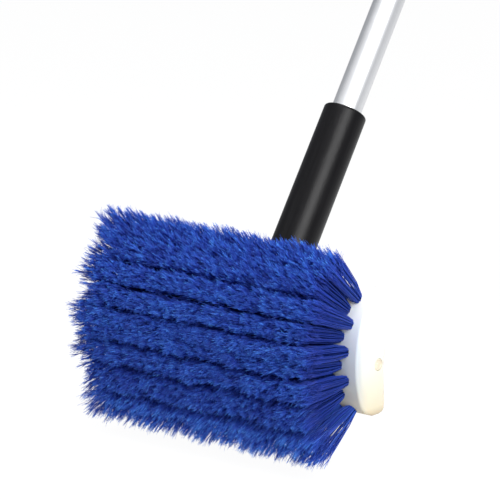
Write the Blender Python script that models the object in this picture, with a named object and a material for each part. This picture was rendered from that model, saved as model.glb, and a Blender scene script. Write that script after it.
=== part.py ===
"""A pool wall brush: a 10 inch white plastic block with nine rows of blue bristles, on an aluminium pole.

The block lies along X, the bristles point along -Y and the pole rises along +Z and +Y in the plane X = 0.
The world origin is on the pole's axis, halfway along the hand grip, where a hand holds the brush.
"""

import math

import bmesh
import bpy
from mathutils import Matrix, Vector

# Block
BLOCK_LENGTH = 0.254
FRONT_RADIUS = 0.0878  # the face that carries the tufts is an arc about an axis along X
FRONT_Y = -0.0203  # the foremost line of that face
FRONT_AXIS_Z = -0.0029  # height of that line and of the arc's axis
BLOCK_ABOVE = 0.0560  # from mid height to the top corner
FRONT_LOW_Z = -0.0410  # below this a chamfer carries the last row, down to a lip
LIP_Y = -0.0065
LIP_Z = -0.0463
UNDERSIDE_Z = -0.0495
UNDERSIDE_FRONT_Y = 0.0030
UNDERSIDE_BACK_Y = 0.0110
HEEL_Y = 0.0180
HEEL_Z = -0.0410
WAIST_Y = 0.0160
WAIST_Z = -0.0080
SHOULDER_Y = 0.0225
SHOULDER_Z = 0.0270
CORNER_ROUND = 0.0016
FRONT_STEPS = 16
BACK_STEPS = 4

# Tufts
ROWS = 9
TUFTS_IN_FULL_ROW = 19
TUFT_PITCH = 0.0127
TOP_ROW_Z = 0.0464
ROW_STEP = 0.0091  # the fall from one row to the next is this plus a growth for each row passed
ROW_STEP_GROWTH = 0.00027
SHARED_ROWS = (4, 5)  # these two rows, counted from 0 at the top, close up at their tips
FAN_TOP = 0.0965  # height of the upper edge of the fan of tips
FAN_BAND = 0.0172  # at the tips each row has a band of its own, which grows down the fan
FAN_BAND_GROWTH = 0.0007
HOLE_RADIUS = 0.0040
HOLE_DEPTH = 0.0090
PEG_RADIUS = 0.0036
PEG_DEPTH = 0.0080
TUFT_SIDES = 6
TRIM_LENGTH = 0.0600
ROW_BASE_LIFT = 0.0014
ROW_BASE_THICKNESS = 0.0080
ROW_TIP_THICKNESS = 0.0155
SHARED_TIP_THICKNESS = 0.0100
ROW_END_FLARE = 0.0060

# Plugs in the ends of the block
PLUG_Y = 0.0080
PLUG_Z = -0.0080
PLUG_RADIUS = 0.00475
PLUG_LENGTH = 0.0060
PLUG_GAP = 0.0003

# Pole line: it crosses mid height of the block at POLE_Y and leans back from there
POLE_Y = 0.0160
POLE_LEAN_DEGREES = 33.0
BOSS_START = -0.0060  # distances along the pole line
BOSS_END = 0.0580
BOSS_RADIUS = 0.0200
SADDLE_HALF_WIDTH = 0.0400
SOCKET_RADIUS = 0.0100
SOCKET_DEPTH = 0.0380

# Handle
WASHER_GAP = 0.0003
WASHER_THICKNESS = 0.0024
WASHER_RADIUS = 0.0170
THREAD_PITCH = 0.00508  # five turns to the inch
THREAD_CREST = 0.009525
THREAD_ROOT = 0.0082
THREAD_LENGTH = 0.0350
THREAD_STEPS_PER_TURN = 5
COLLAR_RADIUS = 0.0126
COLLAR_LENGTH = 0.0120
SHANK_RADIUS = 0.0110
SHANK_LENGTH = 0.0450
POLE_RADIUS = 0.0127
POLE_WALL = 0.0014
POLE_LENGTH = 0.9144
SLEEVE_RADIUS = 0.0184
SLEEVE_BORE = 0.0130
SLEEVE_TOP = 0.1980
SLEEVE_ROUND = 0.0025
SLEEVE_FLARE = 0.0004
CROSS_PIN_RADIUS = 0.0020
CROSS_PIN_AT = 0.0220  # above the collar
GRIP_RADIUS = 0.0165
GRIP_LENGTH = 0.1200
GRIP_BELOW_END = 0.0030
GRIP_RIBS = 5
GRIP_RIB_DEPTH = 0.0010
CAP_FLANGE_RADIUS = 0.0145
CAP_FLANGE_THICKNESS = 0.0030
CAP_PLUG_LENGTH = 0.0250
CAP_TAB_HALF_WIDTH = 0.0110
CAP_TAB_HALF_THICKNESS = 0.0040
CAP_TAB_LENGTH = 0.0240
HANG_HOLE_RADIUS = 0.0045
CAP_RIVET_RADIUS = 0.0016
ROUND_SIDES = 32

# Distances along the pole line of the faces that meet there
WASHER_LOW = BOSS_END + WASHER_GAP
SLEEVE_LOW = WASHER_LOW + WASHER_THICKNESS + WASHER_GAP
COLLAR_TOP = SLEEVE_LOW + COLLAR_LENGTH
POLE_LOW = COLLAR_TOP + 0.0003
POLE_HIGH = POLE_LOW + POLE_LENGTH
GRIP_HIGH = POLE_HIGH - GRIP_BELOW_END


def clear_scene():
    for obj in list(bpy.data.objects):
        bpy.data.objects.remove(obj, do_unlink=True)


def material(name, color, roughness, metallic=0.0):
    made = bpy.data.materials.new(name)
    made.use_nodes = True
    shader = made.node_tree.nodes["Principled BSDF"]
    shader.inputs["Base Color"].default_value = (*color, 1)
    shader.inputs["Roughness"].default_value = roughness
    shader.inputs["Metallic"].default_value = metallic
    return made


def add_object(name, verts, faces, color=None, roughness=0.5, metallic=0.0, smooth=True):
    mesh = bpy.data.meshes.new(name)
    mesh.from_pydata(verts, [], faces)
    fresh = bmesh.new()
    fresh.from_mesh(mesh)
    bmesh.ops.recalc_face_normals(fresh, faces=fresh.faces)
    fresh.to_mesh(mesh)
    fresh.free()
    obj = bpy.data.objects.new(name, mesh)
    bpy.context.scene.collection.objects.link(obj)
    if color is None:
        obj.hide_render = True
        obj.display_type = "WIRE"
    else:
        mesh.materials.append(material(name, color, roughness, metallic))
    if smooth:
        mesh.shade_smooth()
        mesh.set_sharp_from_angle(angle=math.radians(35))
    return obj


def boolean(obj, cutter, operation):
    modifier = obj.modifiers.new(f"{operation} {cutter.name}", "BOOLEAN")
    modifier.operation = operation
    modifier.solver = "EXACT"
    modifier.object = cutter


def loft(rings):
    """Closed skin through equal rings of points, with a flat face at each end."""
    count = len(rings[0])
    verts = [point for ring in rings for point in ring]
    faces = [list(range(count)), list(range(len(verts) - count, len(verts)))]
    for k in range(len(rings) - 1):
        for i in range(count):
            j = (i + 1) % count
            faces.append([k * count + i, k * count + j, (k + 1) * count + j, (k + 1) * count + i])
    return verts, faces


def prism(center, direction, radius, start, end, sides):
    """Regular prism along direction from center + start to center + end, as a loft."""
    side = Vector((1, 0, 0))
    if abs(direction.x) > 0.9:
        side = Vector((0, 1, 0))
    other = direction.cross(side).normalized()
    rings = []
    for along in (start, end):
        middle = center + direction * along
        turns = [2 * math.pi * (i + 0.5) / sides for i in range(sides)]
        rings.append([middle + side * radius * math.cos(a) + other * radius * math.sin(a) for a in turns])
    return loft(rings)


def merged(shapes):
    verts, faces = [], []
    for more_verts, more_faces in shapes:
        first = len(verts)
        verts += more_verts
        faces += [[first + i for i in face] for face in more_faces]
    return verts, faces


def lathe(profile, sides=ROUND_SIDES):
    """Turned shape about Z. A profile that starts and ends on the axis is solid, any other is a closed ring."""
    solid = profile[0][0] == 0
    rows = profile[1:-1] if solid else profile
    verts = []
    for radius, height in rows:
        for i in range(sides):
            turn = 2 * math.pi * i / sides
            verts.append((radius * math.cos(turn), radius * math.sin(turn), height))
    bands = range(len(rows) - 1) if solid else range(len(rows))
    faces = []
    for k in bands:
        n = (k + 1) % len(rows)
        for i in range(sides):
            j = (i + 1) % sides
            faces.append([k * sides + i, k * sides + j, n * sides + j, n * sides + i])
    if solid:
        faces.append(list(range(sides)))
        faces.append(list(range(len(verts) - sides, len(verts))))
    return verts, faces


def front_y(z):
    return FRONT_Y + FRONT_RADIUS - math.sqrt(FRONT_RADIUS**2 - (z - FRONT_AXIS_Z) ** 2)


def eased(start, end, steps):
    """Points from start to end in (y, z) that leave and arrive parallel to Z."""
    points = []
    for i in range(steps):
        share = i / steps
        ease = (1 - math.cos(math.pi * share)) / 2
        points.append((start[0] + (end[0] - start[0]) * ease, start[1] + (end[1] - start[1]) * share))
    return points


def block_section():
    """The block's outline in (y, z): up the front arc, then down the back."""
    section = []
    for i in range(FRONT_STEPS + 1):
        z = FRONT_LOW_Z + (BLOCK_ABOVE - FRONT_LOW_Z) * i / FRONT_STEPS
        section.append((front_y(z), z))
    crown = (front_y(BLOCK_ABOVE) + 0.0035, BLOCK_ABOVE - 0.0006)
    section.append(crown)
    section += [(crown[0] + 0.0042, crown[1] - 0.0050), (0.0180, 0.0400)]
    section += eased((SHOULDER_Y, SHOULDER_Z), (WAIST_Y, WAIST_Z), BACK_STEPS)
    section += eased((WAIST_Y, WAIST_Z), (HEEL_Y, HEEL_Z), BACK_STEPS)
    section += [(HEEL_Y, HEEL_Z), (HEEL_Y - 0.0018, HEEL_Z - 0.0065)]
    section += [(UNDERSIDE_BACK_Y, UNDERSIDE_Z), (UNDERSIDE_FRONT_Y, UNDERSIDE_Z), (LIP_Y, LIP_Z)]
    return section


def shrunk(section, by):
    """The section with every corner moved in along the mean of its two edges' normals."""
    moved = []
    count = len(section)
    for i, (y, z) in enumerate(section):
        before, after = section[i - 1], section[(i + 1) % count]
        across = Vector((after[1] - before[1], -(after[0] - before[0]))).normalized()
        moved.append((y + across.x * by, z + across.y * by))
    return moved


def extruded(section, half_length, edge=0.0):
    rings = []
    if edge:
        inner, middle = shrunk(section, edge), shrunk(section, edge * 0.3)
        stations = (
            (-half_length, inner),
            (-half_length + edge * 0.3, middle),
            (-half_length + edge, section),
            (half_length - edge, section),
            (half_length - edge * 0.3, middle),
            (half_length, inner),
        )
    else:
        stations = ((-half_length, section), (half_length, section))
    for x, outline in stations:
        rings.append([Vector((x, y, z)) for y, z in outline])
    return loft(rings)


def pole_direction():
    lean = math.radians(POLE_LEAN_DEGREES)
    return Vector((0, math.sin(lean), math.cos(lean)))


def pole_point(along):
    return Vector((0, POLE_Y, 0)) + pole_direction() * along


def hand_hold():
    """The point on the pole's axis halfway along the grip."""
    return pole_point(GRIP_HIGH - GRIP_LENGTH / 2)


def row_height(row):
    return TOP_ROW_Z - ROW_STEP * row - ROW_STEP_GROWTH * row**2


def tip_height(row):
    """Height of the row's tips, in bands down the fan. The two shared rows have half a band each."""
    first = SHARED_ROWS[0]
    band = row + 0.5 if row < first else row - 0.5
    if row in SHARED_ROWS:
        band = (row + first) / 2 + 0.25
    return FAN_TOP - FAN_BAND * band - FAN_BAND_GROWTH * band**2


def row_direction(row):
    rise = (tip_height(row) - row_height(row)) / TRIM_LENGTH
    return Vector((0, -math.sqrt(1 - rise * rise), rise))


def row_tufts(row):
    """Where each tuft of the row leaves the block. Every other row is staggered by half a pitch."""
    count = TUFTS_IN_FULL_ROW - row % 2
    z = row_height(row)
    return [Vector(((i - (count - 1) / 2) * TUFT_PITCH, front_y(z), z)) for i in range(count)]


def add_block():
    block = add_object(
        "brush_block", *extruded(block_section(), BLOCK_LENGTH / 2, CORNER_ROUND), (0.86, 0.85, 0.80), 0.35
    )
    direction = pole_direction()
    boss = add_object(
        "boss_shape", *prism(pole_point(0), direction, BOSS_RADIUS, BOSS_START, BOSS_END, ROUND_SIDES)
    )
    boolean(block, boss, "UNION")

    across = Vector((0, direction.z, -direction.y))
    corners = []
    for x in (-SADDLE_HALF_WIDTH, SADDLE_HALF_WIDTH):
        corners += [Vector((x, 0.010, 0.046)), Vector((x, 0.010, -0.040))]
        corners += [Vector((x, 0.014, 0.044)), Vector((x, 0.0145, -0.038))]
    for x in (-0.0185, 0.0185):
        corners.append(pole_point(0.044) - across * 0.012 + Vector((x, 0, 0)))
        corners.append(pole_point(0.036) + across * 0.010 + Vector((x, 0, 0)))
        corners.append(pole_point(0.002) + across * 0.012 + Vector((x * 0.8, 0, 0)))
    hull = bmesh.new()
    for corner in corners:
        hull.verts.new(corner)
    bmesh.ops.convex_hull(hull, input=hull.verts)
    bmesh.ops.delete(hull, geom=[v for v in hull.verts if not v.link_faces], context="VERTS")
    hull.verts.ensure_lookup_table()
    hull.verts.index_update()
    verts = [v.co.copy() for v in hull.verts]
    faces = [[v.index for v in face.verts] for face in hull.faces]
    hull.free()
    boolean(block, add_object("saddle_shape", verts, faces), "UNION")

    socket = prism(pole_point(BOSS_END), direction, SOCKET_RADIUS, -SOCKET_DEPTH, 0.004, ROUND_SIDES)
    boolean(block, add_object("socket_cut", *socket), "DIFFERENCE")

    holes = []
    for row in range(ROWS):
        for foot in row_tufts(row):
            holes.append(prism(foot, row_direction(row), HOLE_RADIUS, -HOLE_DEPTH, 0.004, TUFT_SIDES))
    boolean(block, add_object("tuft_hole_cuts", *merged(holes)), "DIFFERENCE")

    recesses = []
    for side in (-1, 1):
        end = Vector((side * BLOCK_LENGTH / 2, PLUG_Y, PLUG_Z))
        out = Vector((side, 0, 0))
        recesses.append(prism(end, out, PLUG_RADIUS + PLUG_GAP, -PLUG_LENGTH - PLUG_GAP, 0.003, 24))
    boolean(block, add_object("plug_recess_cuts", *merged(recesses)), "DIFFERENCE")


def add_end_plugs():
    for side, name in ((-1, "end_plug_left"), (1, "end_plug_right")):
        end = Vector((side * BLOCK_LENGTH / 2, PLUG_Y, PLUG_Z))
        shape = prism(end, Vector((side, 0, 0)), PLUG_RADIUS, -PLUG_LENGTH, -0.0002, 24)
        add_object(name, *shape, (0.84, 0.82, 0.75), 0.4)


def add_bristle_rows():
    """Each row is one brush of filaments, which widens from its tufts to its tips, with a peg in each hole."""
    stations = (  # share of the trim length, share of the growth in thickness, share of the end flare
        (0.0, 0.0, 0.0),
        (0.35, 0.28, 0.22),
        (0.93, 1.0, 0.92),
        (1.0, 0.72, 0.98),
    )
    for row in range(ROWS):
        direction = row_direction(row)
        across = Vector((0, direction.z, -direction.y))
        tufts = row_tufts(row)
        foot = Vector((0, tufts[0].y, tufts[0].z))
        half = tufts[-1].x + ROW_BASE_THICKNESS / 2
        tip_thickness = SHARED_TIP_THICKNESS if row in SHARED_ROWS else ROW_TIP_THICKNESS
        rings = []
        for along, growth, flare in stations:
            thickness = ROW_BASE_THICKNESS + (tip_thickness - ROW_BASE_THICKNESS) * growth
            x = half + ROW_END_FLARE * flare
            middle = foot + direction * (ROW_BASE_LIFT + (TRIM_LENGTH - ROW_BASE_LIFT) * along)
            corners = ((-x, -0.5), (x, -0.5), (x, 0.5), (-x, 0.5))
            rings.append([middle + Vector((a, 0, 0)) + across * thickness * b for a, b in corners])
        name = f"bristle_row_{row + 1}"
        brush = add_object(name, *loft(rings), (0.02, 0.07, 0.36), 0.5, smooth=False)
        pegs = [
            prism(tuft, direction, PEG_RADIUS, -PEG_DEPTH, ROW_BASE_LIFT + 0.002, TUFT_SIDES)
            for tuft in tufts
        ]
        boolean(brush, add_object(f"peg_shapes_{row + 1}", *merged(pegs)), "UNION")


def on_pole_line(obj):
    obj.matrix_world = Matrix.Translation(pole_point(0)) @ Matrix.Rotation(
        -math.radians(POLE_LEAN_DEGREES), 4, "X"
    )
    return obj


def threaded_tip_shape():
    """Thread below the collar, shank above it. The thread is a ridge that winds up the cylinder."""
    sides = 14
    step = THREAD_PITCH / THREAD_STEPS_PER_TURN
    rows = round(THREAD_LENGTH / step)
    fade = 4
    verts = []
    for k in range(rows + 1):
        z = SLEEVE_LOW - THREAD_LENGTH + THREAD_LENGTH * k / rows
        ends = min(1.0, k / fade, (rows - k) / fade)
        for i in range(sides):
            turn = i / sides
            phase = (k * step / THREAD_PITCH - turn) % 1.0
            ridge = min(1.0, max(0.0, 2.6 * (1 - abs(2 * phase - 1)) - 0.8)) * ends
            radius = THREAD_ROOT + (THREAD_CREST - THREAD_ROOT) * ridge
            verts.append((radius * math.cos(2 * math.pi * turn), radius * math.sin(2 * math.pi * turn), z))
    for radius, z in (
        (COLLAR_RADIUS, SLEEVE_LOW + 0.0001),
        (COLLAR_RADIUS, COLLAR_TOP),
        (SHANK_RADIUS, COLLAR_TOP + 0.0001),
        (SHANK_RADIUS, COLLAR_TOP + SHANK_LENGTH - 0.001),
        (SHANK_RADIUS - 0.001, COLLAR_TOP + SHANK_LENGTH),
    ):
        for i in range(sides):
            turn = 2 * math.pi * i / sides
            verts.append((radius * math.cos(turn), radius * math.sin(turn), z))
    rings = len(verts) // sides
    faces = [list(range(sides)), list(range(len(verts) - sides, len(verts)))]
    for k in range(rings - 1):
        for i in range(sides):
            j = (i + 1) % sides
            faces.append([k * sides + i, k * sides + j, (k + 1) * sides + j, (k + 1) * sides + i])
    return verts, faces


def add_handle():
    ring = [
        (THREAD_CREST + 0.0005, WASHER_LOW),
        (WASHER_RADIUS, WASHER_LOW),
        (WASHER_RADIUS, WASHER_LOW + WASHER_THICKNESS),
        (THREAD_CREST + 0.0005, WASHER_LOW + WASHER_THICKNESS),
    ]
    on_pole_line(add_object("thrust_washer", *lathe(ring), (0.05, 0.05, 0.05), 0.7))

    tip = on_pole_line(
        add_object("threaded_tip", *threaded_tip_shape(), (0.55, 0.55, 0.53), 0.4)
    )

    sleeve = [
        (SLEEVE_BORE, SLEEVE_LOW),
        (SLEEVE_RADIUS + SLEEVE_FLARE - 0.0008, SLEEVE_LOW),
        (SLEEVE_RADIUS + SLEEVE_FLARE, SLEEVE_LOW + 0.0008),
        (SLEEVE_RADIUS, SLEEVE_TOP - SLEEVE_ROUND),
        (SLEEVE_RADIUS - 0.3 * SLEEVE_ROUND, SLEEVE_TOP - 0.3 * SLEEVE_ROUND),
        (SLEEVE_RADIUS - SLEEVE_ROUND, SLEEVE_TOP),
        (SLEEVE_BORE, SLEEVE_TOP),
    ]
    on_pole_line(add_object("handle_sleeve", *lathe(sleeve), (0.012, 0.012, 0.013), 0.45))

    inner = POLE_RADIUS - POLE_WALL
    tube = [(inner, POLE_LOW), (POLE_RADIUS, POLE_LOW), (POLE_RADIUS, POLE_HIGH), (inner, POLE_HIGH)]
    pole = on_pole_line(add_object("pole_tube", *lathe(tube), (0.80, 0.81, 0.83), 0.25, 1.0))

    # The cross pin passes through the shank and both walls of the pole, inside the sleeve.
    pin_at = Vector((0, 0, COLLAR_TOP + CROSS_PIN_AT))
    half = POLE_RADIUS - 0.0001
    sideways = Vector((1, 0, 0))
    pin = prism(pin_at, sideways, CROSS_PIN_RADIUS, -half, half, 12)
    on_pole_line(add_object("tip_cross_pin", *pin, (0.6, 0.6, 0.6), 0.3, 1.0))
    drill = prism(pin_at, sideways, CROSS_PIN_RADIUS + 0.0003, -0.02, 0.02, 12)
    drilled = on_pole_line(add_object("cross_pin_cut", *drill))
    boolean(tip, drilled, "DIFFERENCE")
    boolean(pole, drilled, "DIFFERENCE")

    grip_low = GRIP_HIGH - GRIP_LENGTH
    outer = [(SLEEVE_BORE, grip_low), (GRIP_RADIUS - 0.0015, grip_low), (GRIP_RADIUS, grip_low + 0.0020)]
    rib_step = (GRIP_LENGTH - 0.040) / GRIP_RIBS
    for i in range(GRIP_RIBS):
        z = grip_low + 0.020 + rib_step * (i + 0.5)
        for offset, depth in ((-0.0022, 0.0), (-0.0010, GRIP_RIB_DEPTH), (0.0010, GRIP_RIB_DEPTH), (0.0022, 0.0)):
            outer.append((GRIP_RADIUS - depth, z + offset))
    outer += [(GRIP_RADIUS, GRIP_HIGH - 0.0020), (GRIP_RADIUS - 0.0015, GRIP_HIGH), (SLEEVE_BORE, GRIP_HIGH)]
    on_pole_line(add_object("hand_grip", *lathe(outer, 20), (0.012, 0.012, 0.013), 0.6))

    cap_base = POLE_HIGH + 0.0003
    plug = [
        (0, POLE_HIGH - CAP_PLUG_LENGTH),
        (inner - 0.0010, POLE_HIGH - CAP_PLUG_LENGTH),
        (inner - 0.0003, POLE_HIGH - CAP_PLUG_LENGTH + 0.0020),
        (inner - 0.0003, cap_base),
        (CAP_FLANGE_RADIUS, cap_base),
        (CAP_FLANGE_RADIUS, cap_base + CAP_FLANGE_THICKNESS - 0.0006),
        (CAP_FLANGE_RADIUS - 0.0006, cap_base + CAP_FLANGE_THICKNESS),
        (0, cap_base + CAP_FLANGE_THICKNESS),
    ]
    cap = on_pole_line(add_object("end_cap", *lathe(plug, 24), (0.012, 0.012, 0.013), 0.5))
    tab_low = cap_base + CAP_FLANGE_THICKNESS - 0.001
    tab_high = tab_low + CAP_TAB_LENGTH
    outline = [(-CAP_TAB_HALF_WIDTH, tab_low), (CAP_TAB_HALF_WIDTH, tab_low)]
    for i in range(9):
        turn = math.pi * i / 8
        top = tab_high - CAP_TAB_HALF_WIDTH
        outline.append((CAP_TAB_HALF_WIDTH * math.cos(turn), top + CAP_TAB_HALF_WIDTH * math.sin(turn)))
    rings = [[Vector((x, y, z)) for x, z in outline] for y in (-CAP_TAB_HALF_THICKNESS, CAP_TAB_HALF_THICKNESS)]
    boolean(cap, on_pole_line(add_object("cap_tab_shape", *loft(rings))), "UNION")
    hang = Vector((0, 0, tab_high - CAP_TAB_HALF_WIDTH))
    hole = prism(hang, Vector((0, 1, 0)), HANG_HOLE_RADIUS, -0.01, 0.01, 20)
    boolean(cap, on_pole_line(add_object("hang_hole_cut", *hole)), "DIFFERENCE")

    rivet_at = Vector((0, 0, POLE_HIGH - 0.0130))
    rivet = prism(rivet_at, sideways, CAP_RIVET_RADIUS, -half, half, 12)
    on_pole_line(add_object("cap_rivet", *rivet, (0.6, 0.6, 0.6), 0.3, 1.0))
    rivet_drill = prism(rivet_at, sideways, CAP_RIVET_RADIUS + 0.0003, -0.02, 0.02, 12)
    rivet_cut = on_pole_line(add_object("cap_rivet_cut", *rivet_drill))
    boolean(cap, rivet_cut, "DIFFERENCE")
    boolean(pole, rivet_cut, "DIFFERENCE")


def main():
    clear_scene()
    add_block()
    add_end_plugs()
    add_bristle_rows()
    head = bpy.data.objects.new("head_axis", None)
    bpy.context.scene.collection.objects.link(head)
    head.location = pole_point(0)
    for obj in list(bpy.data.objects):
        if obj != head:
            obj.parent = head
            obj.location = obj.location - head.location
    add_handle()
    for obj in bpy.data.objects:
        if obj.parent is None:
            obj.location = obj.location - hand_hold()


main()
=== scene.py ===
import math

import bmesh
import bpy
import numpy as np
from mathutils import Matrix, Vector


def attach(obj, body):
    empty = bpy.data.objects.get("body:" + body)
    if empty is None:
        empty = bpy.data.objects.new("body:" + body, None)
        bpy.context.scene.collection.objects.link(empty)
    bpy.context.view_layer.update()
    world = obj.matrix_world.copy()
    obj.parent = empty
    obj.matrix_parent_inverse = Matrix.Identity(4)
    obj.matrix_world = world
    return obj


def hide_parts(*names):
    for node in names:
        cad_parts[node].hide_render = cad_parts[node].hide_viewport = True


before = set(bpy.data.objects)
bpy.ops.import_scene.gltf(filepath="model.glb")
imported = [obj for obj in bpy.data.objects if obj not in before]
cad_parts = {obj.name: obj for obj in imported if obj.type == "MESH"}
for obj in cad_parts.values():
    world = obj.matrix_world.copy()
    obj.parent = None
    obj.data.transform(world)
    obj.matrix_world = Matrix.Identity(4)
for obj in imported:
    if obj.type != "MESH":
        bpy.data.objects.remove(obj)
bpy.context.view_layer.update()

# ---------------------------------------------------------------- dimensions
# Metres, about the block's mid point; DATUM moves them into the row frame.
BLOCK_LENGTH = 0.254
FRONT_RADIUS = 0.0878
FRONT_Y = -0.0203
FRONT_AXIS_Z = -0.0029
BLOCK_ABOVE = 0.0560
FRONT_LOW_Z = -0.0410
LIP_Y = -0.0065
LIP_Z = -0.0463
UNDERSIDE_Z = -0.0495
UNDERSIDE_FRONT_Y = 0.0030
UNDERSIDE_BACK_Y = 0.0110
HEEL_Y, HEEL_Z = 0.0180, -0.0410
WAIST_Y, WAIST_Z = 0.0160, -0.0080
SHOULDER_Y, SHOULDER_Z = 0.0225, 0.0270
END_ROUND = 0.0026

ROWS = 9
TUFTS_IN_FULL_ROW = 19
TUFT_PITCH = 0.0127
TOP_ROW_Z = 0.0464
ROW_STEP = 0.0091
ROW_STEP_GROWTH = 0.00027
SHARED_ROWS = (4, 5)
FAN_TOP = 0.0965
FAN_BAND = 0.0172
FAN_BAND_GROWTH = 0.0007
HOLE_RADIUS, HOLE_DEPTH = 0.0040, 0.0090
TRIM_LENGTH = 0.0600
CUT_OVERRUN = 0.0040  # how far the cuts of the socket and the tuft holes reach out past the surface

PLUG_Y, PLUG_Z = 0.0080, -0.0080
PLUG_RADIUS, PLUG_LENGTH, PLUG_GAP = 0.00475, 0.0060, 0.0003

POLE_Y = 0.0160
POLE_LEAN_DEGREES = 33.0
BOSS_START, BOSS_END, BOSS_RADIUS = -0.0060, 0.0580, 0.0200
SADDLE_HALF_WIDTH, SADDLE_TOP_HALF_WIDTH = 0.0400, 0.0185
SOCKET_RADIUS, SOCKET_DEPTH = 0.0100, 0.0380
WASHER_GAP, WASHER_THICKNESS = 0.0003, 0.0024
THREAD_PITCH, THREAD_CREST, THREAD_ROOT, THREAD_LENGTH = 0.00508, 0.009525, 0.0082, 0.0350
COLLAR_RADIUS, COLLAR_LENGTH = 0.0126, 0.0120
SHANK_RADIUS, SHANK_LENGTH = 0.0110, 0.0450
POLE_RADIUS, POLE_WALL, POLE_LENGTH = 0.0127, 0.0014, 0.9144
SLEEVE_RADIUS, SLEEVE_BORE, SLEEVE_TOP, SLEEVE_ROUND = 0.0184, 0.0130, 0.1980, 0.0025
SLEEVE_FLARE, SLEEVE_LOW_ROUND, BORE_CHAMFER = 0.0004, 0.0012, 0.0006
SLEEVE_STEPS, POLE_STEPS = 24, 20
POLE_GAP = 0.0003
GRIP_LENGTH, GRIP_BELOW_END = 0.1200, 0.0030

# Distances along the pole line of the faces that meet there
WASHER_LOW = BOSS_END + WASHER_GAP
SLEEVE_LOW = WASHER_LOW + WASHER_THICKNESS + WASHER_GAP
COLLAR_TOP = SLEEVE_LOW + COLLAR_LENGTH
POLE_LOW = COLLAR_TOP + POLE_GAP
POLE_HIGH = POLE_LOW + POLE_LENGTH
HAND_HOLD = POLE_HIGH - GRIP_BELOW_END - GRIP_LENGTH / 2
POLE_LEAN = math.radians(POLE_LEAN_DEGREES)
POLE_LINE = Vector((0, math.sin(POLE_LEAN), math.cos(POLE_LEAN)))
DATUM = -(Vector((0, POLE_Y, 0)) + POLE_LINE * HAND_HOLD)

SEED = 41
# Edges sharper than these angles are drawn sharp
SHARP_DEGREES, BLOCK_SHARP_DEGREES = 35, 30
# The range of depth over which the block's painted shade and blue bounce light from the bristles fades,
# from its front back
PAINTED_SHADE_FRONT_Y, PAINTED_SHADE_BACK_Y = -0.0225, 0.0100


# ---------------------------------------------------------------- materials
class Nodes:
    """A material's node tree, with short calls to add and join its nodes."""

    def __init__(self, name):
        self.material = bpy.data.materials.new(name)
        self.material.use_nodes = True
        self.tree = self.material.node_tree
        self.shader = self.tree.nodes["Principled BSDF"]

    def add(self, kind, **settings):
        node = self.tree.nodes.new(kind)
        for key, value in settings.items():
            setattr(node, key, value)
        return node

    def join(self, source, target):
        self.tree.links.new(source, target)

    def put(self, **values):
        for key, value in values.items():
            self.shader.inputs[key.replace("_", " ")].default_value = value
        return self

    def coordinates(self, scale=(1, 1, 1)):
        place = self.add("ShaderNodeTexCoord")
        mapping = self.add("ShaderNodeMapping")
        mapping.inputs["Scale"].default_value = scale
        self.join(place.outputs["Object"], mapping.inputs["Vector"])
        return mapping.outputs["Vector"]

    def noise(self, scale, stretch=(1, 1, 1), detail=2.0, rough=0.5):
        node = self.add("ShaderNodeTexNoise")
        node.inputs["Scale"].default_value = scale
        node.inputs["Detail"].default_value = detail
        node.inputs["Roughness"].default_value = rough
        self.join(self.coordinates(stretch), node.inputs["Vector"])
        return node.outputs["Fac"]

    def ramp(self, factor, stops):
        node = self.add("ShaderNodeValToRGB")
        ramp = node.color_ramp
        while len(ramp.elements) < len(stops):
            ramp.elements.new(0.5)
        for element, (at, color) in zip(ramp.elements, stops):
            element.position = at
            element.color = (*color, 1)
        self.join(factor, node.inputs["Fac"])
        return node.outputs["Color"]

    def spread(self, factor, low, high):
        node = self.add("ShaderNodeMapRange")
        node.inputs["To Min"].default_value = low
        node.inputs["To Max"].default_value = high
        self.join(factor, node.inputs["Value"])
        return node.outputs["Result"]

    def mix(self, factor, first, second, blend="MIX"):
        node = self.add("ShaderNodeMix", data_type="RGBA", blend_type=blend)
        for socket, value in ((node.inputs[0], factor), (node.inputs[6], first), (node.inputs[7], second)):
            if isinstance(value, (int, float)):
                socket.default_value = value
            elif isinstance(value, tuple):
                socket.default_value = (*value, 1)
            else:
                self.join(value, socket)
        return node.outputs[2]

    def bump(self, height, strength, distance):
        node = self.add("ShaderNodeBump")
        node.inputs["Strength"].default_value = strength
        node.inputs["Distance"].default_value = distance
        self.join(height, node.inputs["Height"])
        self.join(node.outputs["Normal"], self.shader.inputs["Normal"])

    def base(self, color):
        self.join(color, self.shader.inputs["Base Color"])

    def roughness(self, value):
        self.join(value, self.shader.inputs["Roughness"])


def bristle_material():
    """Blue filament, painted lighter and more azure towards the tips as painted backlight. "along" runs
    from 0 at the root to 1 at the tip; "shade" is its own tone, raised in the lowest row as painted bounce
    light.
    """
    made = Nodes("blue_filament")
    along = made.add("ShaderNodeAttribute", attribute_name="along").outputs["Fac"]
    shade = made.add("ShaderNodeAttribute", attribute_name="shade").outputs["Fac"]
    # Nearly even along the length, then painted lighter and more azure over the last quarter as painted
    # backlight through the fine tips.
    color = made.ramp(
        along,
        (
            (0.0, (0.011, 0.042, 0.330)),
            (0.45, (0.010, 0.036, 0.315)),
            (0.75, (0.010, 0.037, 0.345)),
            (0.92, (0.013, 0.054, 0.440)),
            (1.0, (0.026, 0.135, 0.620)),
        ),
    )
    # Each filament's own random tone as a brightness factor; in the lowest row it also carries painted
    # bounce light.
    light = made.ramp(
        shade,
        (
            (0.0, (0.55, 0.55, 0.62)),
            (0.5, (1.0, 1.0, 1.0)),
            (0.84, (1.5, 1.45, 1.2)),
            (1.0, (3.6, 3.0, 1.6)),
        ),
    )
    made.base(made.mix(1.0, color, light, "MULTIPLY"))
    made.roughness(made.spread(shade, 0.58, 0.42))
    made.put(Specular_IOR_Level=0.35)
    return made.material


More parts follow.
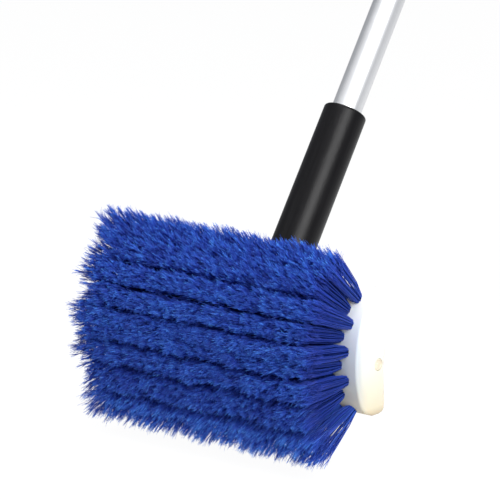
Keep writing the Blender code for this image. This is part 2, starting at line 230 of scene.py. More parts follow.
def block_material():
    """Cream plastic, painted lighter towards the top as painted light and darker and browner towards the
    underside as painted shade, with painted shade and blue bounce light from the bristles on the face of
    the bristles.
    """
    made = Nodes("cream_plastic")
    place = made.add("ShaderNodeTexCoord")
    split = made.add("ShaderNodeSeparateXYZ")
    made.join(place.outputs["Object"], split.inputs[0])
    height = made.add("ShaderNodeMapRange")
    height.inputs["From Min"].default_value = UNDERSIDE_Z
    height.inputs["From Max"].default_value = BLOCK_ABOVE
    made.join(split.outputs["Z"], height.inputs["Value"])
    # Painted light and shade by height over the cream tone of the plastic: lighter towards the top, darker
    # and browner towards the underside.
    tone = made.ramp(
        height.outputs["Result"],
        (
            (0.0, (0.50, 0.40, 0.25)),
            (0.07, (0.70, 0.63, 0.47)),
            (0.35, (0.79, 0.76, 0.65)),
            (0.55, (0.84, 0.82, 0.74)),
            (0.72, (0.90, 0.90, 0.87)),
            (1.0, (0.92, 0.92, 0.91)),
        ),
    )
    mottle = made.ramp(made.noise(26, detail=4), ((0.3, (0.965, 0.96, 0.94)), (0.7, (1.0, 1.0, 1.0))))
    depth = made.add("ShaderNodeMapRange")
    depth.inputs["From Min"].default_value = PAINTED_SHADE_FRONT_Y
    depth.inputs["From Max"].default_value = PAINTED_SHADE_BACK_Y
    made.join(split.outputs["Y"], depth.inputs["Value"])
    # Painted shade and painted blue bounce light from the bristles, darkest and bluest at the front face.
    painted_blue_shade = made.ramp(
        depth.outputs["Result"],
        (
            (0.0, (0.52, 0.60, 0.80)),
            (0.30, (0.84, 0.88, 0.96)),
            (0.55, (1.0, 1.0, 1.0)),
        ),
    )
    plain = made.mix(1.0, tone, mottle, "MULTIPLY")
    made.base(made.mix(1.0, plain, painted_blue_shade, "MULTIPLY"))
    made.roughness(made.spread(made.noise(90, detail=3), 0.34, 0.48))
    made.bump(made.noise(900, detail=2), 0.12, 0.0004)
    made.put(Specular_IOR_Level=0.45, Subsurface_Weight=0.08, Subsurface_Scale=0.004)
    return made.material


def plug_material():
    made = Nodes("plug_plastic")
    made.base(made.ramp(made.noise(120, detail=3), ((0.3, (0.62, 0.55, 0.42)), (0.7, (0.74, 0.67, 0.53)))))
    made.roughness(made.spread(made.noise(200), 0.4, 0.55))
    made.bump(made.noise(700), 0.15, 0.0003)
    return made.material


def sleeve_material():
    made = Nodes("black_sleeve")
    streak = made.noise(60, (14, 14, 0.5), 3)
    made.base(made.ramp(streak, ((0.3, (0.0022, 0.0020, 0.0026)), (0.7, (0.0050, 0.0046, 0.0056)))))
    made.roughness(made.spread(made.noise(70, (6, 6, 0.8), 4, 0.65), 0.30, 0.44))
    made.bump(made.noise(900, (1, 1, 0.25), 3), 0.20, 0.0004)
    made.put(Specular_IOR_Level=0.19)
    return made.material


def rubber_material(name, scale):
    made = Nodes(name)
    mottle = made.noise(scale, detail=3)
    made.base(made.ramp(mottle, ((0.3, (0.010, 0.010, 0.011)), (0.7, (0.022, 0.021, 0.022)))))
    made.roughness(made.spread(made.noise(scale * 2), 0.5, 0.72))
    made.bump(made.noise(scale * 9, detail=3), 0.3, 0.0004)
    return made.material


def pole_material():
    made = Nodes("drawn_aluminium")
    lines = made.noise(120, (9, 9, 0.06), 3, 0.6)
    made.base(made.ramp(lines, ((0.25, (0.80, 0.81, 0.83)), (0.75, (0.90, 0.905, 0.915)))))
    made.roughness(made.spread(lines, 0.38, 0.46))
    made.bump(lines, 0.03, 0.0001)
    made.put(Metallic=1.0)
    return made.material


def steel_material():
    made = Nodes("pin_steel")
    lines = made.noise(400, (0.1, 1, 1))
    made.base(made.ramp(lines, ((0.3, (0.48, 0.48, 0.49)), (0.7, (0.62, 0.62, 0.63)))))
    made.roughness(made.spread(made.noise(300), 0.25, 0.42))
    made.put(Metallic=1.0)
    return made.material


def tip_material():
    made = Nodes("grey_nylon")
    made.base(made.ramp(made.noise(90, detail=3), ((0.3, (0.42, 0.42, 0.40)), (0.7, (0.52, 0.52, 0.50)))))
    made.roughness(made.spread(made.noise(150), 0.35, 0.5))
    made.bump(made.noise(800), 0.12, 0.0003)
    return made.material


# ---------------------------------------------------------------- shapes
def add_object(name, verts, faces, look=None):
    """A mesh with outward faces, smooth except at its sharp edges."""
    mesh = bpy.data.meshes.new(name)
    mesh.from_pydata([tuple(v) for v in verts], [], faces)
    fresh = bmesh.new()
    fresh.from_mesh(mesh)
    bmesh.ops.recalc_face_normals(fresh, faces=fresh.faces)
    fresh.to_mesh(mesh)
    fresh.free()
    obj = bpy.data.objects.new(name, mesh)
    bpy.context.scene.collection.objects.link(obj)
    if look:
        mesh.materials.append(look)
    mesh.shade_smooth()
    mesh.set_sharp_from_angle(angle=math.radians(SHARP_DEGREES))
    return obj


def boolean(obj, cutter, operation):
    """Applies the Boolean at once and removes the cutter."""
    modifier = obj.modifiers.new("shape", "BOOLEAN")
    modifier.operation = operation
    modifier.solver = "EXACT"
    modifier.object = cutter
    graph = bpy.context.evaluated_depsgraph_get()
    mesh = bpy.data.meshes.new_from_object(obj.evaluated_get(graph))
    obj.modifiers.clear()
    old = obj.data
    obj.data = mesh
    bpy.data.meshes.remove(old)
    bpy.data.objects.remove(cutter, do_unlink=True)


def loft(rings):
    """A closed solid through rings that have the same number of points."""
    count = len(rings[0])
    verts = [point for ring in rings for point in ring]
    faces = [list(range(count)), list(range(len(verts) - count, len(verts)))]
    for k in range(len(rings) - 1):
        for i in range(count):
            j = (i + 1) % count
            faces.append([k * count + i, k * count + j, (k + 1) * count + j, (k + 1) * count + i])
    return verts, faces


def prism(center, direction, radius, start, end, sides):
    """A many-sided rod along direction, from start to end past center."""
    side = Vector((0, 1, 0)) if abs(direction.x) > 0.9 else Vector((1, 0, 0))
    other = direction.cross(side).normalized()
    rings = []
    for along in (start, end):
        middle = center + direction * along
        turns = [2 * math.pi * (i + 0.5) / sides for i in range(sides)]
        rings.append([middle + side * radius * math.cos(a) + other * radius * math.sin(a) for a in turns])
    return loft(rings)


def merged(shapes):
    """Several shapes as one list of points and faces."""
    verts, faces = [], []
    for more_verts, more_faces in shapes:
        first = len(verts)
        verts += more_verts
        faces += [[first + i for i in face] for face in more_faces]
    return verts, faces


def lathe(profile, sides=96):
    """Turned shape about Z. A profile that starts and ends on the axis is solid, any other is a ring."""
    solid = profile[0][0] == 0
    rows = profile[1:-1] if solid else profile
    verts = []
    for radius, height in rows:
        for i in range(sides):
            turn = 2 * math.pi * i / sides
            verts.append((radius * math.cos(turn), radius * math.sin(turn), height))
    faces = []
    for k in range(len(rows) - 1) if solid else range(len(rows)):
        n = (k + 1) % len(rows)
        for i in range(sides):
            j = (i + 1) % sides
            faces.append([k * sides + i, k * sides + j, n * sides + j, n * sides + i])
    if solid:
        faces.append(list(range(sides)))
        faces.append(list(range(len(verts) - sides, len(verts))))
    return verts, faces


def corner(center, start, end, steps=6):
    """Points of a rounded corner in a turned profile: center, then the two end points on its radius."""
    a = math.atan2(start[1] - center[1], start[0] - center[0])
    b = math.atan2(end[1] - center[1], end[0] - center[0])
    radius = math.dist(start, center)
    return [
        (
            center[0] + radius * math.cos(a + (b - a) * i / steps),
            center[1] + radius * math.sin(a + (b - a) * i / steps),
        )
        for i in range(steps + 1)
    ]


def front_y(z):
    """Depth of the block's rounded front face at a height."""
    return FRONT_Y + FRONT_RADIUS - math.sqrt(FRONT_RADIUS**2 - (z - FRONT_AXIS_Z) ** 2)


def pole_point(along):
    return Vector((0, POLE_Y, 0)) + POLE_LINE * along


def row_height(row):
    return TOP_ROW_Z - ROW_STEP * row - ROW_STEP_GROWTH * row**2


def tip_height(row):
    """Height of the row's tips, in bands down the fan. The two shared rows have half a band each."""
    first = SHARED_ROWS[0]
    band = row + 0.5 if row < first else row - 0.5
    if row in SHARED_ROWS:
        band = (row + first) / 2 + 0.25
    return FAN_TOP - FAN_BAND * band - FAN_BAND_GROWTH * band**2


def row_direction(row):
    """The way a row points: its tips are TRIM_LENGTH from its roots, at the height of the fan."""
    rise = (tip_height(row) - row_height(row)) / TRIM_LENGTH
    return Vector((0, -math.sqrt(1 - rise * rise), rise))


def row_tufts(row):
    """Where a row's tufts stand in the front face. Every other row has one tuft fewer, set between."""
    count = TUFTS_IN_FULL_ROW - row % 2
    z = row_height(row)
    return [Vector(((i - (count - 1) / 2) * TUFT_PITCH, front_y(z), z)) for i in range(count)]


# ---------------------------------------------------------------- block
def block_section():
    """Outline of the block across its length: up the round front, down the waisted back, underneath."""
    section = []
    front_steps = 48
    for i in range(front_steps + 1):
        z = FRONT_LOW_Z + (BLOCK_ABOVE - FRONT_LOW_Z) * i / front_steps
        section.append((front_y(z), z))
    crown = (front_y(BLOCK_ABOVE) + 0.0035, BLOCK_ABOVE - 0.0006)
    back = [
        (front_y(BLOCK_ABOVE), BLOCK_ABOVE),
        crown,
        (crown[0] + 0.0042, crown[1] - 0.0050),
        (0.0180, 0.0400),
        (SHOULDER_Y, SHOULDER_Z),
        ((SHOULDER_Y + WAIST_Y) / 2, (SHOULDER_Z + WAIST_Z) / 2),
        (WAIST_Y, WAIST_Z),
        (WAIST_Y + 0.0007, WAIST_Z - 0.014),
        (HEEL_Y, HEEL_Z),
        (HEEL_Y - 0.0018, HEEL_Z - 0.0065),
        (UNDERSIDE_BACK_Y, UNDERSIDE_Z),
    ]
    # A smooth curve through the points of the back, with curve_steps points from each to the next.
    smooth = []
    curve_steps = 5
    for i in range(1, len(back) - 1):
        p0, p1, p2 = np.array(back[i - 1]), np.array(back[i]), np.array(back[i + 1])
        p3 = np.array(back[min(i + 2, len(back) - 1)])
        for s in range(curve_steps):
            t = s / curve_steps
            smooth.append(
                tuple(
                    0.5
                    * (
                        2 * p1
                        + (p2 - p0) * t
                        + (2 * p0 - 5 * p1 + 4 * p2 - p3) * t * t
                        + (3 * p1 - p0 - 3 * p2 + p3) * t**3
                    )
                )
            )
    section += smooth
    section += [(UNDERSIDE_BACK_Y, UNDERSIDE_Z), (UNDERSIDE_FRONT_Y, UNDERSIDE_Z), (LIP_Y, LIP_Z)]
    return section


def shrunk(section, by):
    """The outline moved inwards by a distance."""
    moved = []
    count = len(section)
    for i, (y, z) in enumerate(section):
        before, after = section[i - 1], section[(i + 1) % count]
        across = Vector((after[1] - before[1], -(after[0] - before[0]))).normalized()
        moved.append((y + across.x * by, z + across.y * by))
    return moved


def extruded(section, half_length, edge, steps=5):
    """The outline drawn out along X, with its two ends rounded by edge."""
    stations = []
    for i in range(steps + 1):
        turn = math.pi / 2 * i / steps
        outline = shrunk(section, edge * (1 - math.cos(turn)))
        stations.append((half_length - edge * (1 - math.sin(turn)), outline))
    stations = [(-x, outline) for x, outline in reversed(stations)] + stations
    return loft([[Vector((x, y, z)) for y, z in outline] for x, outline in stations])


def saddle():
    """The rise of the block's back up to the boss, as the hull of its corners."""
    across = Vector((0, POLE_LINE.z, -POLE_LINE.y))
    corners = []
    for x in (-SADDLE_HALF_WIDTH, SADDLE_HALF_WIDTH):
        corners += [Vector((x, 0.010, 0.046)), Vector((x, 0.010, -0.040))]
        corners += [Vector((x, 0.014, 0.044)), Vector((x, 0.0145, -0.038))]
    for x in (-SADDLE_TOP_HALF_WIDTH, SADDLE_TOP_HALF_WIDTH):
        corners.append(pole_point(0.044) - across * 0.012 + Vector((x, 0, 0)))
        corners.append(pole_point(0.036) + across * 0.010 + Vector((x, 0, 0)))
        corners.append(pole_point(0.002) + across * 0.012 + Vector((x * 0.8, 0, 0)))
    hull = bmesh.new()
    for point in corners:
        hull.verts.new(point)
    bmesh.ops.convex_hull(hull, input=hull.verts)
    bmesh.ops.delete(hull, geom=[v for v in hull.verts if not v.link_faces], context="VERTS")
    hull.verts.ensure_lookup_table()
    hull.verts.index_update()
    shape = [v.co.copy() for v in hull.verts], [[v.index for v in face.verts] for face in hull.faces]
    hull.free()
    return shape


def add_block():
    moulding = extruded(block_section(), BLOCK_LENGTH / 2, END_ROUND)
    block = add_object("block_moulding", *moulding, block_material())
    boss = prism(pole_point(0), POLE_LINE, BOSS_RADIUS, BOSS_START, BOSS_END, 72)
    boolean(block, add_object("boss_shape", *boss), "UNION")
    boolean(block, add_object("saddle_shape", *saddle()), "UNION")
    socket = prism(pole_point(BOSS_END), POLE_LINE, SOCKET_RADIUS, -SOCKET_DEPTH, CUT_OVERRUN, 48)
    boolean(block, add_object("socket_cut", *socket), "DIFFERENCE")
    holes = []
    for row in range(ROWS):
        for foot in row_tufts(row):
            holes.append(prism(foot, row_direction(row), HOLE_RADIUS, -HOLE_DEPTH, CUT_OVERRUN, 12))
    boolean(block, add_object("tuft_hole_cuts", *merged(holes)), "DIFFERENCE")
    recesses = []
    for side in (-1, 1):
        end = Vector((side * BLOCK_LENGTH / 2, PLUG_Y, PLUG_Z))
        recesses.append(
            prism(end, Vector((side, 0, 0)), PLUG_RADIUS + PLUG_GAP, -PLUG_LENGTH - PLUG_GAP, 0.003, 48)
        )
    boolean(block, add_object("plug_recess_cuts", *merged(recesses)), "DIFFERENCE")
    block.data.shade_smooth()
    block.data.set_sharp_from_angle(angle=math.radians(BLOCK_SHARP_DEGREES))
    block.location = DATUM
    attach(block, "head")
    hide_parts("brush_block")

    look = plug_material()
    for side, name, node in ((-1, "plug_left", "end_plug_left"), (1, "plug_right", "end_plug_right")):
        # A shallow dished disc with a raised rim, as an ejector or a plug leaves.
        r = PLUG_RADIUS
        profile = [(0, -PLUG_LENGTH), (r - 0.0003, -PLUG_LENGTH), (r, -PLUG_LENGTH + 0.0003), (r, -0.0003)]
        profile += [(r - 0.0002, -0.0001), (r - 0.0009, -0.0001), (r - 0.0013, -0.0006), (0.0012, -0.0008)]
        profile += [(0.0008, -0.0003), (0, -0.0003)]
        plug = add_object(name, *lathe(profile, 48), look)
        plug.matrix_world = Matrix.Translation(
            Vector((side * BLOCK_LENGTH / 2, PLUG_Y, PLUG_Z)) + DATUM
        ) @ Matrix.Rotation(side * math.pi / 2, 4, "Y")
        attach(plug, "head")
        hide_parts(node)


# ---------------------------------------------------------------- bristles
FILAMENTS = 84  # in each tuft
FLAGS = 15  # split ends of each filament
OUTER_FILAMENTS, OUTER_FLAGS = 104, 11  # the top and lowest rows spread wider
RIM_CROWDING = 0.80  # below 1 the filaments crowd towards the upper and lower rims of a tuft
STEM_RADIUS = 0.00036
FLAG_RADIUS = 0.00014
FOOT_RADIUS = 0.0040
NECK_RADIUS = 0.0064  # a tuft swells to about this within NECK_SHARE of its length
NECK_SHARE = 0.14
# How far a tuft spreads at its tips: along the block, out past the ends of the rows, up and down.
# The far end is the one at -X.
TIP_REACH_X = 0.0088
FAR_END_REACH_X = 0.0110
NEAR_END_REACH_X = 0.0060
TOP_REACH, LOW_REACH = 0.0118, 0.0190
FAR_END_LEAN, NEAR_END_LEAN = 0.055, -0.030
FAR_END_CLOSING = 0.0024  # the grooves close up at the far end
LOW_ROW_PAINTED_BOUNCE = 0.30  # the lowest row's filaments are painted a lighter blue, as painted bounce light from the floor below
CROWN_DROP = 0.085  # how much shorter a tuft is at its rim than at its middle
# The groove that shows between each row and the next, from the top, at the tips
GROOVES = (0.0015, 0.0050, 0.0065, 0.0050, 0.0000, 0.0060, 0.0070, 0.0100)
# Standard deviations from tuft to tuft, from filament to filament, and from split end to split end.
# X runs along the block and A across the row; leans and wanders are in lengths of the tuft.
TUFT_LEAN_X, TUFT_LEAN_A = 0.016, 0.014
TUFT_LENGTH_SPREAD, TUFT_SHADE_SPREAD = 0.022, 0.06
LENGTH_SPREAD, SHADE_SPREAD = 0.016, 0.17
WANDER_X, WANDER_A = 0.022, 0.014
FLAG_SWING, FLAG_SHADE_SPREAD = 0.29, 0.20
# Shares of the length where a filament splits, and how far before that a split end may start
SPLIT_FROM, SPLIT_TO, FLAG_START = 0.60, 0.93, 0.86
FLAG_SHORTEST, FLAG_LONGEST = 0.09, 0.20
FLAG_END, FLAG_END_SPREAD, FLAG_END_LIMIT = 0.985, 0.014, 1.01


def tubes(paths, radii, shade, along):
    """Three-sided tubes round many paths at once.

    paths is (n, points, 3), radii and along are (n, points), and shade is (n).
    """
    n, points, _ = paths.shape
    forward = np.gradient(paths, axis=1)
    forward /= np.linalg.norm(forward, axis=2, keepdims=True)
    side = np.cross(forward, np.array([0.31, 0.52, 0.79]))  # a direction that no filament takes
    side /= np.linalg.norm(side, axis=2, keepdims=True)
    other = np.cross(forward, side)
    rings = []
    for k in range(3):
        turn = 2 * math.pi * k / 3
        rings.append(paths + radii[..., None] * (side * math.cos(turn) + other * math.sin(turn)))
    verts = np.stack(rings, axis=2).reshape(-1, 3)
    first = (np.arange(n) * points * 3)[:, None, None]
    ring = (np.arange(points - 1) * 3)[None, :, None]
    k = np.arange(3)[None, None, :]
    j = (k + 1) % 3
    low = first + ring
    quads = np.stack([low + k, low + j, low + 3 + j, low + 3 + k], axis=-1)
    end = first[:, 0, 0] + (points - 1) * 3
    caps = np.stack([end, end + 1, end + 2], axis=-1)
    return (
        verts,
        quads.reshape(-1, 4),
        caps,
        np.repeat(shade, points * 3),
        np.repeat(along.reshape(-1), 3),
    )


def row_mesh(name, parts, looks):
    """One mesh from several sets of tubes."""
    total = sum(len(p[0]) for p in parts)
    verts = np.concatenate([p[0] for p in parts])
    offset = np.cumsum([0] + [len(p[0]) for p in parts[:-1]])
    quads = np.concatenate([p[1] + o for p, o in zip(parts, offset)])
    caps = np.concatenate([p[2] + o for p, o in zip(parts, offset)])
    mesh = bpy.data.meshes.new(name)
    mesh.vertices.add(total)
    mesh.vertices.foreach_set("co", verts.astype(np.float32).ravel())
    loops = np.concatenate([quads.ravel(), caps.ravel()]).astype(np.int32)
    mesh.loops.add(len(loops))
    mesh.loops.foreach_set("vertex_index", loops)
    starts = np.concatenate([np.arange(len(quads)) * 4, len(quads) * 4 + np.arange(len(caps)) * 3])
    mesh.polygons.add(len(starts))
    mesh.polygons.foreach_set("loop_start", starts.astype(np.int32))
    mesh.update(calc_edges=True)
    for label, index in (("shade", 3), ("along", 4)):
        attribute = mesh.attributes.new(label, "FLOAT", "POINT")
        attribute.data.foreach_set("value", np.concatenate([p[index] for p in parts]).astype(np.float32))
    mesh.shade_smooth()
    mesh.materials.append(looks)
    obj = bpy.data.objects.new(name, mesh)
    bpy.context.scene.collection.objects.link(obj)
    return obj


def row_tip(row):
    foot = Vector((0, front_y(row_height(row)), row_height(row)))
    return foot + row_direction(row) * TRIM_LENGTH


def reach_to(row, other):
    """How far the row spreads at its tips towards a neighbouring row."""
    if other < 0:
        return TOP_REACH
    if other == ROWS:
        return LOW_REACH
    between = (row_tip(row) - row_tip(other)).length
    return (between - GROOVES[min(row, other)]) / 2


def bristle_row(row, look):
    """The filaments of one row, each a thin stem that splits into finer ends."""
    rng = np.random.default_rng(SEED + row)
    direction = np.array(row_direction(row))
    across = np.array([0, direction[2], -direction[1]])
    along_x = np.array([1.0, 0, 0])
    feet = np.array([tuple(t) for t in row_tufts(row)])
    tufts = len(feet)
    place = feet[:, 0] / feet[:, 0].max()
    reach_up, reach_down = reach_to(row, row - 1), reach_to(row, row + 1)
    filaments, flags = (OUTER_FILAMENTS, OUTER_FLAGS) if row in (0, ROWS - 1) else (FILAMENTS, FLAGS)

    # Each tuft leans a little its own way, the end ones outwards.
    end_lean = np.where(place < 0, -FAR_END_LEAN, NEAR_END_LEAN) * np.abs(place) ** 6
    lean_x = end_lean + rng.normal(0, TUFT_LEAN_X, tufts)
    lean_a = rng.normal(0, TUFT_LEAN_A, tufts)
    tuft_length = TRIM_LENGTH * (1 + rng.normal(0, TUFT_LENGTH_SPREAD, tufts))
    # Each tuft's own random tone, raised in the lowest row as painted bounce light from the floor below.
    tuft_tone_and_painted_bounce = rng.normal(0, TUFT_SHADE_SPREAD, tufts) + (LOW_ROW_PAINTED_BOUNCE if row == ROWS - 1 else 0)

    n = tufts * filaments
    tuft = np.repeat(np.arange(tufts), filaments)
    # Places in the tuft: (flat_x, flat_a) fill a square, (disc_x, disc_a) the disc inside it.
    flat_x = rng.uniform(-1, 1, n)
    flat_a = np.concatenate([rng.permutation(filaments) for _ in range(tufts)])
    flat_a = 2 * (flat_a + rng.uniform(0, 1, n)) / filaments - 1
    flat_a = np.sign(flat_a) * np.abs(flat_a) ** RIM_CROWDING
    disc_x, disc_a = flat_x * np.sqrt(1 - flat_a**2 / 2), flat_a * np.sqrt(1 - flat_x**2 / 2)
    reach_a = np.where(flat_a > 0, reach_up, reach_down)
    reach_a = reach_a + FAR_END_CLOSING * (place[tuft] < -0.85)
    reach_x = np.full(n, TIP_REACH_X)
    reach_x[(place[tuft] < -0.999) & (flat_x < 0)] = FAR_END_REACH_X
    reach_x[(place[tuft] > 0.999) & (flat_x > 0)] = NEAR_END_REACH_X

    crown = 1 - CROWN_DROP * (0.75 * flat_a**2 + 0.25 * flat_x**2) ** 1.2
    length = tuft_length[tuft] * crown * (1 + rng.normal(0, LENGTH_SPREAD, n))
    split = rng.uniform(SPLIT_FROM, SPLIT_TO, n)
    wander_x, wander_a = rng.normal(0, WANDER_X, n), rng.normal(0, WANDER_A, n)

    def point_at(s, extra_x=0.0, extra_a=0.0):
        """Where each filament is at the share s of its length."""
        grow = np.maximum(s, 0)
        blend = np.clip(grow * 1.6, 0, 1)
        neck = FOOT_RADIUS + (NECK_RADIUS - FOOT_RADIUS) * np.clip(grow / NECK_SHARE, 0, 1)
        width_x = neck + (reach_x - NECK_RADIUS) * grow
        width_a = neck + (reach_a - NECK_RADIUS) * grow
        out_x = width_x * (disc_x + (flat_x - disc_x) * blend)
        out_a = width_a * (disc_a + (flat_a - disc_a) * blend)
        out_x = out_x + length * (lean_x[tuft] * s + wander_x * s * s) + extra_x
        out_a = out_a + length * (lean_a[tuft] * s + wander_a * s * s) + extra_a
        return (
            feet[tuft]
            + direction * (length * s)[:, None]
            + along_x * out_x[:, None]
            + across * out_a[:, None]
        )

    shade = np.clip(0.5 + tuft_tone_and_painted_bounce[tuft] + rng.normal(0, SHADE_SPREAD, n), 0, 1)
    stem_shares = np.linspace(0, 1, 4)
    stem = np.stack([point_at(split * t - 0.05 * (t == 0)) for t in stem_shares], axis=1)
    stem_radii = np.full((n, len(stem_shares)), STEM_RADIUS)
    stem_along = split[:, None] * stem_shares[None, :]
    parts = [tubes(stem, stem_radii, shade, stem_along)]

    for flag in range(flags):
        angle = 2 * math.pi * flag / flags + rng.uniform(0, 6.28, n)
        start = split * rng.uniform(FLAG_START, 1.0, n)
        reach = start + rng.uniform(FLAG_SHORTEST, FLAG_LONGEST, n)
        tail = np.clip(reach, 0, np.minimum(rng.normal(FLAG_END, FLAG_END_SPREAD, n), FLAG_END_LIMIT))
        swing = (tail - start) * length * np.abs(rng.normal(0, FLAG_SWING, n))
        swing = swing * (1 - 0.40 * np.abs(flat_a))
        points = [point_at(start), point_at(tail, swing * np.cos(angle), swing * np.sin(angle))]
        alongs = np.stack([start, tail], axis=1)
        radii = np.repeat([[FLAG_RADIUS * 1.25, FLAG_RADIUS * 0.7]], n, axis=0)
        tone = np.clip(shade + rng.normal(0, FLAG_SHADE_SPREAD, n), 0, 1)
        parts.append(tubes(np.stack(points, axis=1), radii, tone, alongs))

    name = f"filaments_row_{row + 1}"
    made = row_mesh(name, parts, look)
    made.location = DATUM
    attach(made, "head")
    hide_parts(f"bristle_row_{row + 1}")


def add_bristles():
    look = bristle_material()
    for row in range(ROWS):
        bristle_row(row, look)


# ---------------------------------------------------------------- handle
def helix_tip(sides=48, steps_per_turn=14):
    """The tip about Z: a thread that winds up to the collar, and a plain shank above it."""
    step = THREAD_PITCH / steps_per_turn
    rows = round(THREAD_LENGTH / step)
    fade = steps_per_turn  # the ridge rises and dies away over one turn at each end
    verts = []
    for k in range(rows + 1):
        z = SLEEVE_LOW - THREAD_LENGTH + THREAD_LENGTH * k / rows
        ends = min(1.0, k / fade, (rows - k) / fade)
        for i in range(sides):
            turn = i / sides
            phase = (z / THREAD_PITCH - turn) % 1.0
            ridge = min(1.0, max(0.0, 2.6 * (1 - abs(2 * phase - 1)) - 0.8)) * ends
            radius = THREAD_ROOT + (THREAD_CREST - THREAD_ROOT) * ridge
            verts.append((radius * math.cos(2 * math.pi * turn), radius * math.sin(2 * math.pi * turn), z))
    for radius, z in (
        (COLLAR_RADIUS, SLEEVE_LOW + 0.0001),
        (COLLAR_RADIUS, COLLAR_TOP),
        (SHANK_RADIUS, COLLAR_TOP + 0.0001),
        (SHANK_RADIUS, COLLAR_TOP + SHANK_LENGTH - 0.001),
        (SHANK_RADIUS - 0.001, COLLAR_TOP + SHANK_LENGTH),
    ):
        for i in range(sides):
            turn = 2 * math.pi * i / sides
            verts.append((radius * math.cos(turn), radius * math.sin(turn), z))
    rings = len(verts) // sides
    faces = [list(range(sides)), list(range(len(verts) - sides, len(verts)))]
    for k in range(rings - 1):
        for i in range(sides):
            j = (i + 1) % sides
            faces.append([k * sides + i, k * sides + j, (k + 1) * sides + j, (k + 1) * sides + i])
    return verts, faces


def carried(obj, body, node):
    """Puts a shape turned about Z on the pole's line, attaches it to its body and hides the CAD node it
    replaces.
    """
    obj.matrix_world = Matrix.Translation(pole_point(0) + DATUM) @ Matrix.Rotation(-POLE_LEAN, 4, "X")
    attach(obj, body)
    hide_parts(node)


def add_handle():
    tip = add_object("screw_tip", *helix_tip(), tip_material())
    carried(tip, "handle", "threaded_tip")

    # From the foot of the bore, out round the lower rim, up the side, and in round the upper rim.
    radius, foot_radius = SLEEVE_RADIUS, SLEEVE_RADIUS + SLEEVE_FLARE
    low_rim = SLEEVE_LOW + SLEEVE_LOW_ROUND
    high_rim = SLEEVE_TOP - SLEEVE_ROUND
    profile = [(SLEEVE_BORE, SLEEVE_LOW), (foot_radius - SLEEVE_LOW_ROUND, SLEEVE_LOW)]
    profile += corner(
        (foot_radius - SLEEVE_LOW_ROUND, low_rim),
        (foot_radius - SLEEVE_LOW_ROUND, SLEEVE_LOW),
        (foot_radius, low_rim),
    )[1:]
    for i in range(1, SLEEVE_STEPS):
        share = i / SLEEVE_STEPS
        profile.append((radius + SLEEVE_FLARE * (1 - share), low_rim + (high_rim - low_rim) * share))
    profile += corner(
        (radius - SLEEVE_ROUND, high_rim), (radius, high_rim), (radius - SLEEVE_ROUND, SLEEVE_TOP), 8
    )
    profile += [(SLEEVE_BORE + BORE_CHAMFER, SLEEVE_TOP), (SLEEVE_BORE, SLEEVE_TOP - BORE_CHAMFER)]
    sleeve = add_object("sleeve_skin", *lathe(profile), sleeve_material())
    carried(sleeve, "handle", "handle_sleeve")

    inner = POLE_RADIUS - POLE_WALL
    tube = [(inner, POLE_LOW), (POLE_RADIUS, POLE_LOW)]
    tube += [
        (POLE_RADIUS, POLE_LOW + (POLE_HIGH - POLE_LOW) * i / POLE_STEPS) for i in range(1, POLE_STEPS)
    ]
    tube += [(POLE_RADIUS, POLE_HIGH), (inner, POLE_HIGH)]
    carried(add_object("pole_skin", *lathe(tube), pole_material()), "handle", "pole_tube")

    for node, look in (
        ("hand_grip", rubber_material("grip_rubber", 120)),
        ("end_cap", rubber_material("cap_plastic", 90)),
        ("thrust_washer", rubber_material("washer_rubber", 150)),
        ("tip_cross_pin", steel_material()),
        ("cap_rivet", steel_material()),
    ):
        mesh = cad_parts[node].data
        mesh.materials.clear()
        mesh.materials.append(look)
        mesh.shade_smooth()
        mesh.set_sharp_from_angle(angle=math.radians(SHARP_DEGREES))


# ---------------------------------------------------------------- studio
CAMERA_AZIMUTH, CAMERA_ELEVATION, CAMERA_ROLL = 39.3, 12.4, -0.76
CAMERA_DISTANCE = 2.6
CAMERA_TARGET = Vector((0, 0, 0.0675))
FRAME_METRES = 0.4059  # width of the view at the target
SENSOR_MM = 36.0
FLOOR_BELOW = 0.0990  # the floor under the block's mid point, just clear of the lowest tips
# The surroundings as seen, and as they light the brush
BACKDROP_COLOR, WORLD_COLOR = (1, 1, 1, 1), (0.28, 0.29, 0.31, 1)
FLOOR_COLOR = (0.82, 0.82, 0.82, 1)
FLOOR_HALF_SIZE = 12
# Glow is this share of the floor's look in the light it throws, and twice this share as seen
FLOOR_GLOW, FLOOR_GLOW_SHARE = 1.06, 0.45
# Name, azimuth, elevation, distance, side and watts of each lamp; azimuth 0 is in front of the bristles
LIGHTS = (
    ("key", 64.0, 34.0, 2.2, 1.5, 58.0),
    ("fill", -35.0, 20.0, 2.4, 1.4, 18.0),
    ("top", 10.0, 78.0, 2.3, 1.2, 18.0),
)


def add_camera():
    a, e = math.radians(CAMERA_AZIMUTH), math.radians(CAMERA_ELEVATION)
    back = Vector((math.sin(a) * math.cos(e), -math.cos(a) * math.cos(e), math.sin(e)))
    right = Vector((math.cos(a), math.sin(a), 0))
    up = back.cross(right)
    roll = math.radians(CAMERA_ROLL)
    x = right * math.cos(roll) - up * math.sin(roll)
    y = right * math.sin(roll) + up * math.cos(roll)
    data = bpy.data.cameras.new("studio_camera")
    data.sensor_width = SENSOR_MM
    data.lens = SENSOR_MM * CAMERA_DISTANCE / FRAME_METRES
    data.clip_end = 60
    camera = bpy.data.objects.new("studio_camera", data)
    bpy.context.scene.collection.objects.link(camera)
    place = CAMERA_TARGET + DATUM + back * CAMERA_DISTANCE
    camera.matrix_world = Matrix((
        (x.x, y.x, back.x, place.x),
        (x.y, y.y, back.y, place.y),
        (x.z, y.z, back.z, place.z),
        (0, 0, 0, 1),
    ))
    bpy.context.scene.camera = camera


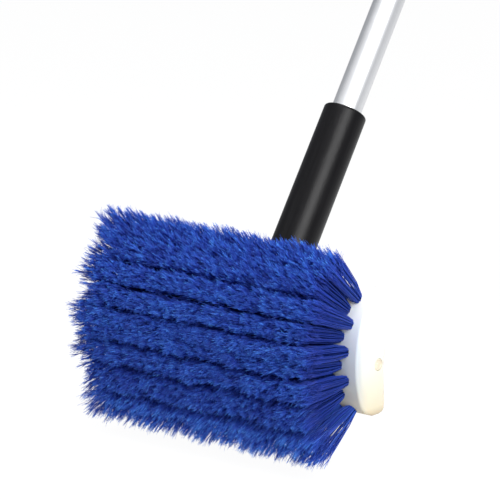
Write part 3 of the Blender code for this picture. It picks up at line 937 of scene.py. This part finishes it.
def area_light(name, place, size, power):
    """A square lamp that looks at the block from place."""
    data = bpy.data.lights.new(name, "AREA")
    data.size = size
    data.energy = power
    light = bpy.data.objects.new(name, data)
    bpy.context.scene.collection.objects.link(light)
    light.location = place + DATUM
    light.rotation_euler = (-place).to_track_quat("-Z", "Y").to_euler()


def add_studio():
    bpy.context.scene.view_settings.view_transform = "Standard"
    world = bpy.data.worlds.new("studio")
    bpy.context.scene.world = world
    world.use_nodes = True
    tree = world.node_tree
    background = tree.nodes["Background"]
    path = tree.nodes.new("ShaderNodeLightPath")
    mix = tree.nodes.new("ShaderNodeMix")
    mix.data_type = "RGBA"
    mix.inputs[6].default_value = WORLD_COLOR
    mix.inputs[7].default_value = BACKDROP_COLOR
    tree.links.new(path.outputs["Is Camera Ray"], mix.inputs[0])
    tree.links.new(mix.outputs[2], background.inputs["Color"])
    background.inputs["Strength"].default_value = 1.0

    floor_z, far = DATUM.z - FLOOR_BELOW, FLOOR_HALF_SIZE
    floor = add_object(
        "floor",
        [(-far, -far, floor_z), (far, -far, floor_z), (far, far, floor_z), (-far, far, floor_z)],
        [[0, 1, 2, 3]],
    )
    made = Nodes("floor_white")
    made.put(Roughness=0.9, Base_Color=FLOOR_COLOR, Specular_IOR_Level=0.1)
    glow = made.add("ShaderNodeEmission")
    glow.inputs["Strength"].default_value = FLOOR_GLOW
    seen = made.add("ShaderNodeLightPath")
    share = made.add("ShaderNodeMath", operation="MULTIPLY_ADD")
    share.inputs[1].default_value = FLOOR_GLOW_SHARE
    share.inputs[2].default_value = FLOOR_GLOW_SHARE
    made.join(seen.outputs["Is Camera Ray"], share.inputs[0])
    blend = made.add("ShaderNodeMixShader")
    made.join(share.outputs[0], blend.inputs[0])
    made.join(made.shader.outputs[0], blend.inputs[1])
    made.join(glow.outputs[0], blend.inputs[2])
    made.join(blend.outputs[0], made.tree.nodes["Material Output"].inputs["Surface"])
    floor.data.materials.append(made.material)

    for name, azimuth, elevation, distance, size, power in LIGHTS:
        a, e = math.radians(azimuth), math.radians(elevation)
        out = Vector((math.sin(a) * math.cos(e), -math.cos(a) * math.cos(e), math.sin(e)))
        area_light(name, out * distance, size, power)


add_block()
add_bristles()
add_handle()
add_camera()
add_studio()
